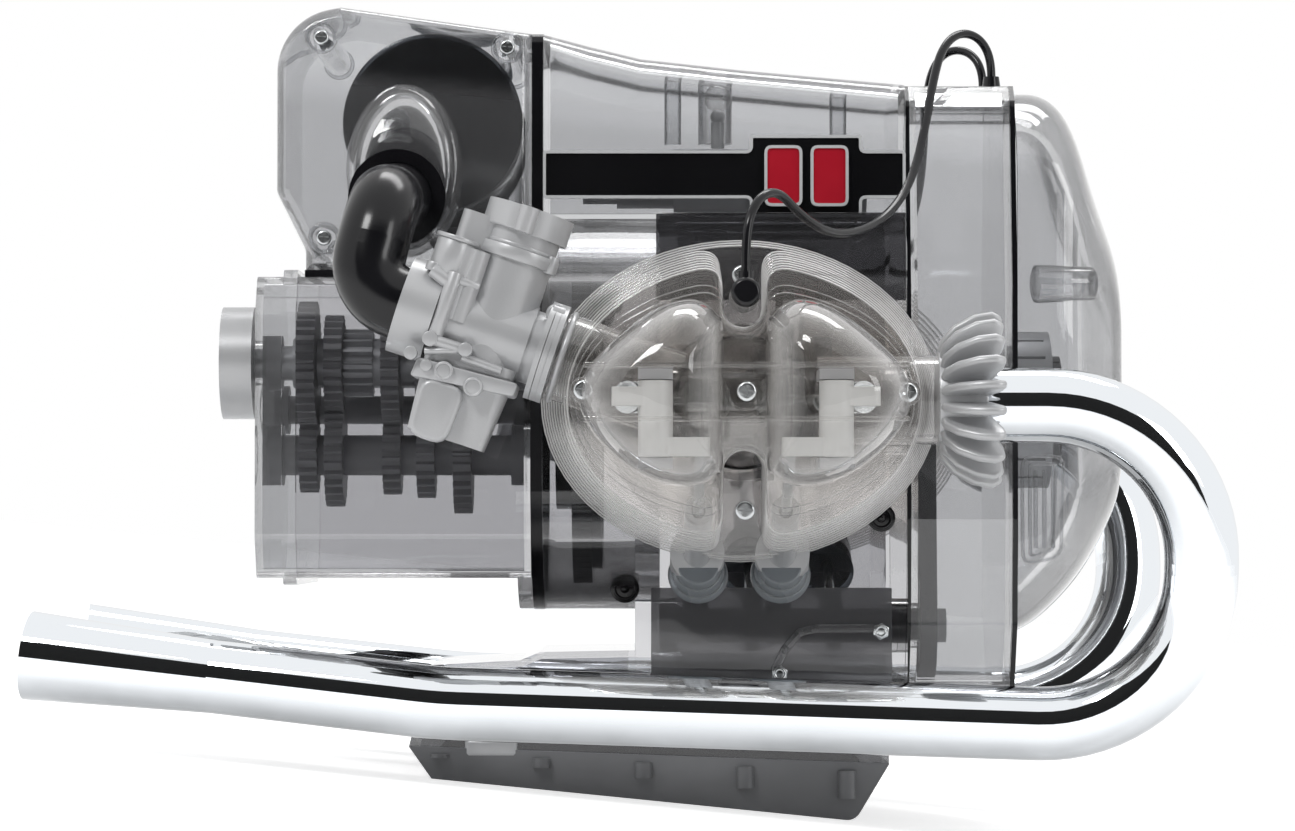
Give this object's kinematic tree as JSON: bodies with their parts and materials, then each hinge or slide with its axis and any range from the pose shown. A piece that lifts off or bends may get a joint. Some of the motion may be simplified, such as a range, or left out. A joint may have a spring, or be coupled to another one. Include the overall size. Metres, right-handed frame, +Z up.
{
  "type": "four stroke engine model",
  "caption": "See-through flat twin four stroke engine model with moving crankshaft, pistons, valve gear and gearbox shafts, standing on its oil pan.",
  "frame": {"origin": "centre of the oil pan's flat underside, on which the model stands", "axes": "+X towards the front of the engine (its cover and the bends of the exhaust pipes), +Y towards its left side, +Z up"},
  "size_m": [0.399, 0.37, 0.2759],
  "materials": {
    "clear_plastic": "clear polished plastic",
    "smoked_plastic": "smoked see-through plastic",
    "silver_plastic": "moulded plastic with silver-grey pearl",
    "grey_plastic": "moulded grey plastic",
    "dark_plastic": "dark moulded plastic",
    "white_plastic": "milky moulded plastic",
    "chrome_plate": "bright chrome plate",
    "black_rubber": "soft black rubber",
    "screw_steel": "bright zinc-plated steel",
    "plate_black": "gloss black with a silver rim"
  },
  "bodies": {
    "engine": {"air_filter": "dark_plastic", "airbox_left": "clear_plastic", "airbox_right": "clear_plastic", "alternator_stator": "silver_plastic", "badge_plate": "plate_black", "bearings": "grey_plastic", "carburettors": "silver_plastic", "crankcase": "smoked_plastic", "cylinder_heads": "clear_plastic", "cylinders": "clear_plastic", "exhaust_nuts": "silver_plastic", "exhaust_pipes": "chrome_plate", "front_cover": "clear_plastic", "gaskets": "black_rubber", "gearbox_housing": "smoked_plastic", "gearbox_rear_cover": "clear_plastic", "ht_lead_left": "black_rubber", "ht_lead_right": "black_rubber", "intake_elbows": "black_rubber", "intake_manifolds": "silver_plastic", "oil_pan": "smoked_plastic", "plug_caps": "black_rubber", "pushrod_tubes": "silver_plastic", "rocker_shafts": "grey_plastic", "screws": "screw_steel", "starter_cover": "clear_plastic", "starter_motor": "silver_plastic", "sump_body": "smoked_plastic", "timing_chain": "dark_plastic", "timing_housing": "clear_plastic", "valve_covers": "clear_plastic"},
    "crank": {"crankshaft": "silver_plastic", "flywheel": "dark_plastic", "input_shaft": "grey_plastic", "alternator_rotor": "dark_plastic"},
    "crank_plug_right": {"crank_plug_right": "grey_plastic"},
    "piston_right": {"piston_right": "smoked_plastic", "conrod_right": "silver_plastic"},
    "crank_plug_left": {"crank_plug_left": "grey_plastic"},
    "piston_left": {"piston_left": "smoked_plastic", "conrod_left": "silver_plastic"},
    "camshaft": {"camshaft": "grey_plastic"},
    "layshaft": {"layshaft": "grey_plastic"},
    "output_shaft": {"output_shaft": "silver_plastic"},
    "output_gear_first": {"output_gear_first": "grey_plastic"},
    "output_gear_second": {"output_gear_second": "grey_plastic"},
    "output_gear_third": {"output_gear_third": "grey_plastic"},
    "output_gear_fourth": {"output_gear_fourth": "grey_plastic"},
    "exhaust_rocker_right": {"exhaust_rocker_right": "white_plastic"},
    "exhaust_valve_right": {"exhaust_valve_right": "screw_steel"},
    "exhaust_pushrod_right": {"exhaust_pushrod_right": "screw_steel"},
    "intake_rocker_right": {"intake_rocker_right": "white_plastic"},
    "intake_valve_right": {"intake_valve_right": "screw_steel"},
    "intake_pushrod_right": {"intake_pushrod_right": "screw_steel"},
    "exhaust_rocker_left": {"exhaust_rocker_left": "white_plastic"},
    "exhaust_valve_left": {"exhaust_valve_left": "screw_steel"},
    "exhaust_pushrod_left": {"exhaust_pushrod_left": "screw_steel"},
    "intake_rocker_left": {"intake_rocker_left": "white_plastic"},
    "intake_valve_left": {"intake_valve_left": "screw_steel"},
    "intake_pushrod_left": {"intake_pushrod_left": "screw_steel"}
  },
  "joints": [
    {"name": "crank_spin", "type": "hinge", "parent": "engine", "child": "crank", "pos_m": [0.01917, 0, 0.13678], "axis": [0.9951, 0, 0.0993], "continuous": true},
    {"name": "crank_plug_right_spin", "type": "hinge", "parent": "crank", "child": "crank_plug_right", "pos_m": [0.00971, -0.00882, 0.13584], "axis": [0.9951, 0, 0.0993], "continuous": true},
    {"name": "piston_right_pivot", "type": "hinge", "parent": "crank_plug_right", "child": "piston_right", "pos_m": [0.01917, -0.01765, 0.13678], "axis": [0.9951, 0, 0.0993], "continuous": true},
    {"name": "crank_plug_left_spin", "type": "hinge", "parent": "crank", "child": "crank_plug_left", "pos_m": [0.04852, 0.00882, 0.13971], "axis": [0.9951, 0, 0.0993], "continuous": true},
    {"name": "piston_left_pivot", "type": "hinge", "parent": "crank_plug_left", "child": "piston_left", "pos_m": [0.03907, 0.01765, 0.13877], "axis": [0.9951, 0, 0.0993], "continuous": true},
    {"name": "camshaft_spin", "type": "hinge", "parent": "engine", "child": "camshaft", "pos_m": [0.02672, 0, 0.06116], "axis": [0.9951, 0, 0.0993], "continuous": true},
    {"name": "layshaft_spin", "type": "hinge", "parent": "engine", "child": "layshaft", "pos_m": [-0.09861, -0.0251, 0.10854], "axis": [0.9951, 0, 0.0993], "continuous": true},
    {"name": "output_shaft_spin", "type": "hinge", "parent": "engine", "child": "output_shaft", "pos_m": [-0.10177, -0.03128, 0.14019], "axis": [0.9951, 0, 0.0993], "continuous": true},
    {"name": "output_gear_first_spin", "type": "hinge", "parent": "engine", "child": "output_gear_first", "pos_m": [-0.10177, -0.03128, 0.14019], "axis": [0.9951, 0, 0.0993], "continuous": true},
    {"name": "output_gear_second_spin", "type": "hinge", "parent": "engine", "child": "output_gear_second", "pos_m": [-0.10177, -0.03128, 0.14019], "axis": [0.9951, 0, 0.0993], "continuous": true},
    {"name": "output_gear_third_spin", "type": "hinge", "parent": "engine", "child": "output_gear_third", "pos_m": [-0.10177, -0.03128, 0.14019], "axis": [0.9951, 0, 0.0993], "continuous": true},
    {"name": "output_gear_fourth_spin", "type": "hinge", "parent": "engine", "child": "output_gear_fourth", "pos_m": [-0.10177, -0.03128, 0.14019], "axis": [0.9951, 0, 0.0993], "continuous": true},
    {"name": "exhaust_rocker_right_swing", "type": "hinge", "parent": "engine", "child": "exhaust_rocker_right", "pos_m": [0.04773, -0.165, 0.13963], "axis": [-0.0993, 0, 0.9951], "range_deg": [0, 10.4]},
    {"name": "exhaust_valve_right_lift", "type": "slide", "parent": "engine", "child": "exhaust_valve_right", "axis": [-0.4975, 0.866, -0.0497], "range_m": [0, 0.0023]},
    {"name": "exhaust_pushrod_right_travel", "type": "slide", "parent": "engine", "child": "exhaust_pushrod_right", "axis": [-0.0347, -0.9372, 0.3472], "range_m": [0, 0.00276]},
    {"name": "intake_rocker_right_swing", "type": "hinge", "parent": "engine", "child": "intake_rocker_right", "pos_m": [-0.00939, -0.165, 0.13393], "axis": [0.0993, 0, -0.9951], "range_deg": [0, 10.4]},
    {"name": "intake_valve_right_lift", "type": "slide", "parent": "engine", "child": "intake_valve_right", "axis": [0.4975, 0.866, 0.0497], "range_m": [0, 0.0023]},
    {"name": "intake_pushrod_right_travel", "type": "slide", "parent": "engine", "child": "intake_pushrod_right", "axis": [-0.0347, -0.9372, 0.3472], "range_m": [0, 0.00276]},
    {"name": "exhaust_rocker_left_swing", "type": "hinge", "parent": "engine", "child": "exhaust_rocker_left", "pos_m": [0.06763, 0.165, 0.14162], "axis": [0.0993, 0, -0.9951], "range_deg": [0, 10.4]},
    {"name": "exhaust_valve_left_lift", "type": "slide", "parent": "engine", "child": "exhaust_valve_left", "axis": [-0.4975, -0.866, -0.0497], "range_m": [0, 0.0023]},
    {"name": "exhaust_pushrod_left_travel", "type": "slide", "parent": "engine", "child": "exhaust_pushrod_left", "axis": [-0.0347, 0.9372, 0.3472], "range_m": [0, 0.00276]},
    {"name": "intake_rocker_left_swing", "type": "hinge", "parent": "engine", "child": "intake_rocker_left", "pos_m": [0.01051, 0.165, 0.13592], "axis": [-0.0993, 0, 0.9951], "range_deg": [0, 10.4]},
    {"name": "intake_valve_left_lift", "type": "slide", "parent": "engine", "child": "intake_valve_left", "axis": [0.4975, -0.866, 0.0497], "range_m": [0, 0.0023]},
    {"name": "intake_pushrod_left_travel", "type": "slide", "parent": "engine", "child": "intake_pushrod_left", "axis": [-0.0347, 0.9372, 0.3472], "range_m": [0, 0.00276]}
  ],
  "couplings": [
    {"joint": "crank_plug_right_spin", "follows": "crank_spin", "ratio": -2},
    {"joint": "piston_right_pivot", "follows": "crank_spin", "ratio": 1},
    {"joint": "crank_plug_left_spin", "follows": "crank_spin", "ratio": -2},
    {"joint": "piston_left_pivot", "follows": "crank_spin", "ratio": 1},
    {"joint": "camshaft_spin", "follows": "crank_spin", "ratio": 0.5},
    {"joint": "layshaft_spin", "follows": "crank_spin", "ratio": -0.5625},
    {"joint": "output_shaft_spin", "follows": "crank_spin", "ratio": 0.81818},
    {"joint": "output_gear_first_spin", "follows": "crank_spin", "ratio": 0.33088},
    {"joint": "output_gear_second_spin", "follows": "crank_spin", "ratio": 0.60577},
    {"joint": "output_gear_third_spin", "follows": "crank_spin", "ratio": 0.35796},
    {"joint": "output_gear_fourth_spin", "follows": "crank_spin", "ratio": 0.41734},
    {"joint": "exhaust_valve_right_lift", "follows": "exhaust_rocker_right_swing", "m_per_rad": 0.012586},
    {"joint": "exhaust_pushrod_right_travel", "follows": "exhaust_rocker_right_swing", "m_per_rad": 0.015176},
    {"joint": "intake_valve_right_lift", "follows": "intake_rocker_right_swing", "m_per_rad": 0.012586},
    {"joint": "intake_pushrod_right_travel", "follows": "intake_rocker_right_swing", "m_per_rad": 0.015176},
    {"joint": "exhaust_valve_left_lift", "follows": "exhaust_rocker_left_swing", "m_per_rad": 0.012586},
    {"joint": "exhaust_pushrod_left_travel", "follows": "exhaust_rocker_left_swing", "m_per_rad": 0.015176},
    {"joint": "intake_valve_left_lift", "follows": "intake_rocker_left_swing", "m_per_rad": 0.012586},
    {"joint": "intake_pushrod_left_travel", "follows": "intake_rocker_left_swing", "m_per_rad": 0.015176}
  ]
}
